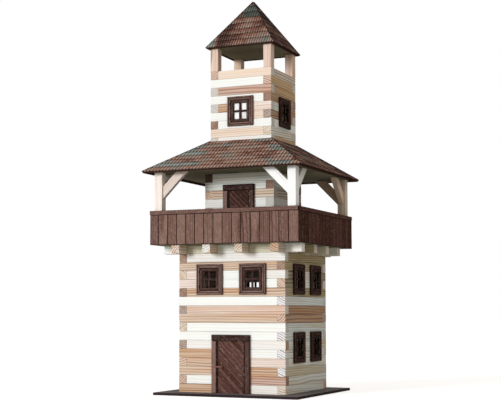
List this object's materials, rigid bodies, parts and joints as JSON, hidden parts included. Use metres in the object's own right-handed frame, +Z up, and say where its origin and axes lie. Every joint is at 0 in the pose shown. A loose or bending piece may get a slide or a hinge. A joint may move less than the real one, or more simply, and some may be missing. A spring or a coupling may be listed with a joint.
{
  "type": "wooden scale model of a fire lookout tower",
  "caption": "Wooden kit model of a fire lookout tower: lapped log walls, boarded gallery on joists, tiled hip roof and open belfry under a steep roof.",
  "frame": {"origin": "middle of the underside of the base board", "axes": "+Z up along the tower, -Y towards the side with the entrance door, +X to the right of that side"},
  "size_m": [0.2, 0.2, 0.4737],
  "materials": {
    "log_wood": "plain pale strip wood, unpainted",
    "strip_wood": "plain strip wood, unpainted",
    "plain_board": "thin unpainted board",
    "stained_boards": "dark stained boards",
    "stained_joinery": "dark stained, satin",
    "roof_tiles": "board with small tiles in relief, painted brown and grey green",
    "base_board": "dark painted board"
  },
  "bodies": {
    "root": {"base_board": "base_board", "belfry_ceiling": "plain_board", "belfry_posts": "strip_wood", "belfry_roof_back": "roof_tiles", "belfry_roof_front": "roof_tiles", "belfry_roof_left": "roof_tiles", "belfry_roof_right": "roof_tiles", "entrance_frame": "stained_joinery", "entrance_leaf": "stained_joinery", "first_floor_windows": "stained_joinery", "gallery_braces_back": "strip_wood", "gallery_braces_front": "strip_wood", "gallery_braces_left": "strip_wood", "gallery_braces_right": "strip_wood", "gallery_ceiling": "plain_board", "gallery_door_frame": "stained_joinery", "gallery_door_leaf": "stained_joinery", "gallery_floor": "plain_board", "gallery_posts": "strip_wood", "gallery_roof_back": "roof_tiles", "gallery_roof_front": "roof_tiles", "gallery_roof_left": "roof_tiles", "gallery_roof_right": "roof_tiles", "ground_windows": "stained_joinery", "left_joist_stubs": "strip_wood", "lower_back_wall": "log_wood", "lower_front_wall": "log_wood", "lower_left_wall": "log_wood", "lower_right_wall": "log_wood", "middle_back_wall": "log_wood", "middle_front_wall": "log_wood", "middle_left_wall": "log_wood", "middle_right_wall": "log_wood", "parapet_back": "stained_boards", "parapet_front": "stained_boards", "parapet_left": "stained_boards", "parapet_right": "stained_boards", "right_joist_stubs": "strip_wood", "through_joists": "strip_wood", "upper_back_wall": "log_wood", "upper_front_wall": "log_wood", "upper_left_wall": "log_wood", "upper_right_wall": "log_wood", "upper_windows": "stained_joinery"}
  },
  "joints": []
}
